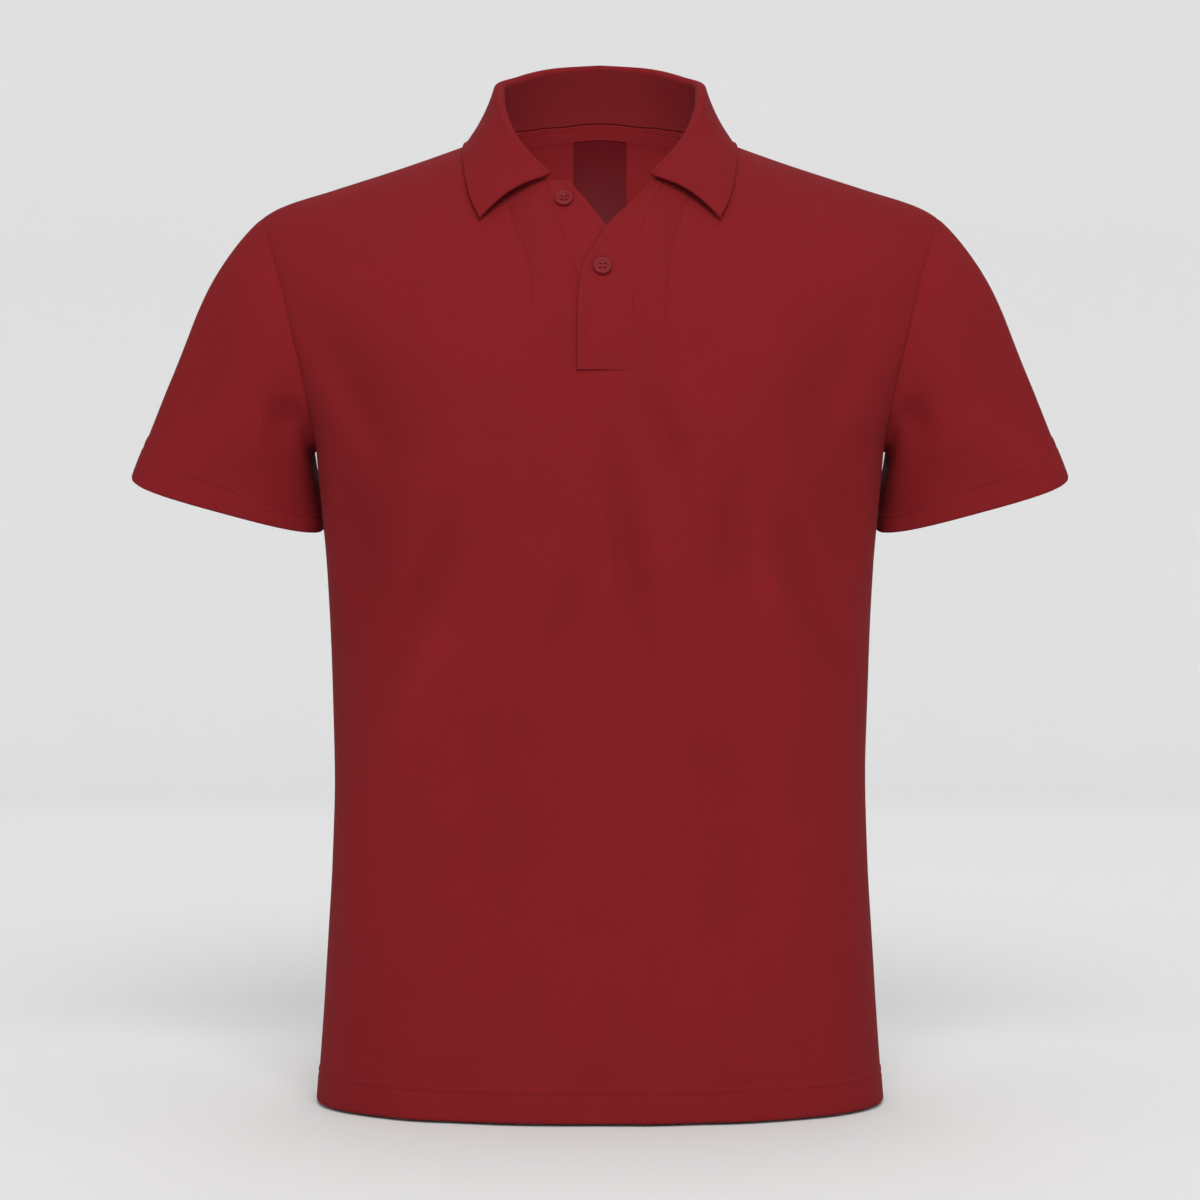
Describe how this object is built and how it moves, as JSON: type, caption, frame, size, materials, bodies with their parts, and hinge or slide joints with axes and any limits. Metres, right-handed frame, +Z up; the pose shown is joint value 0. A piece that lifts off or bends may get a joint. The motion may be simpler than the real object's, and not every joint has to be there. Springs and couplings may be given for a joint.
{
  "type": "short-sleeved polo shirt",
  "caption": "Short-sleeved pique polo shirt with a rib collar and an open button placket, filled out as it is when worn, with neck, cuffs and hem open.",
  "frame": {"origin": "middle of the neck, level with the points where the shoulder seams meet the collar, where the wearer's neck and shoulders hold the shirt", "axes": "+Z up, the front of the shirt faces -Y, the wearer's left sleeve is at +X"},
  "size_m": [0.7002, 0.2443, 0.7844],
  "materials": {
    "pique": "dark red cotton pique knit, matt",
    "collar_rib": "dark red flat-knit rib, matt",
    "neck_tape": "dark red jersey tape, matt",
    "label": "deep red woven satin label, plain",
    "button": "dark red polyester button, satin gloss"
  },
  "bodies": {
    "root": {"front": "pique", "back": "pique", "sleeve_left": "pique", "sleeve_right": "pique", "placket_upper": "pique", "placket_under": "pique", "collar": "collar_rib", "neck_tape": "neck_tape", "neck_label": "label", "button_lower": "button", "button_top": "button"}
  },
  "joints": []
}
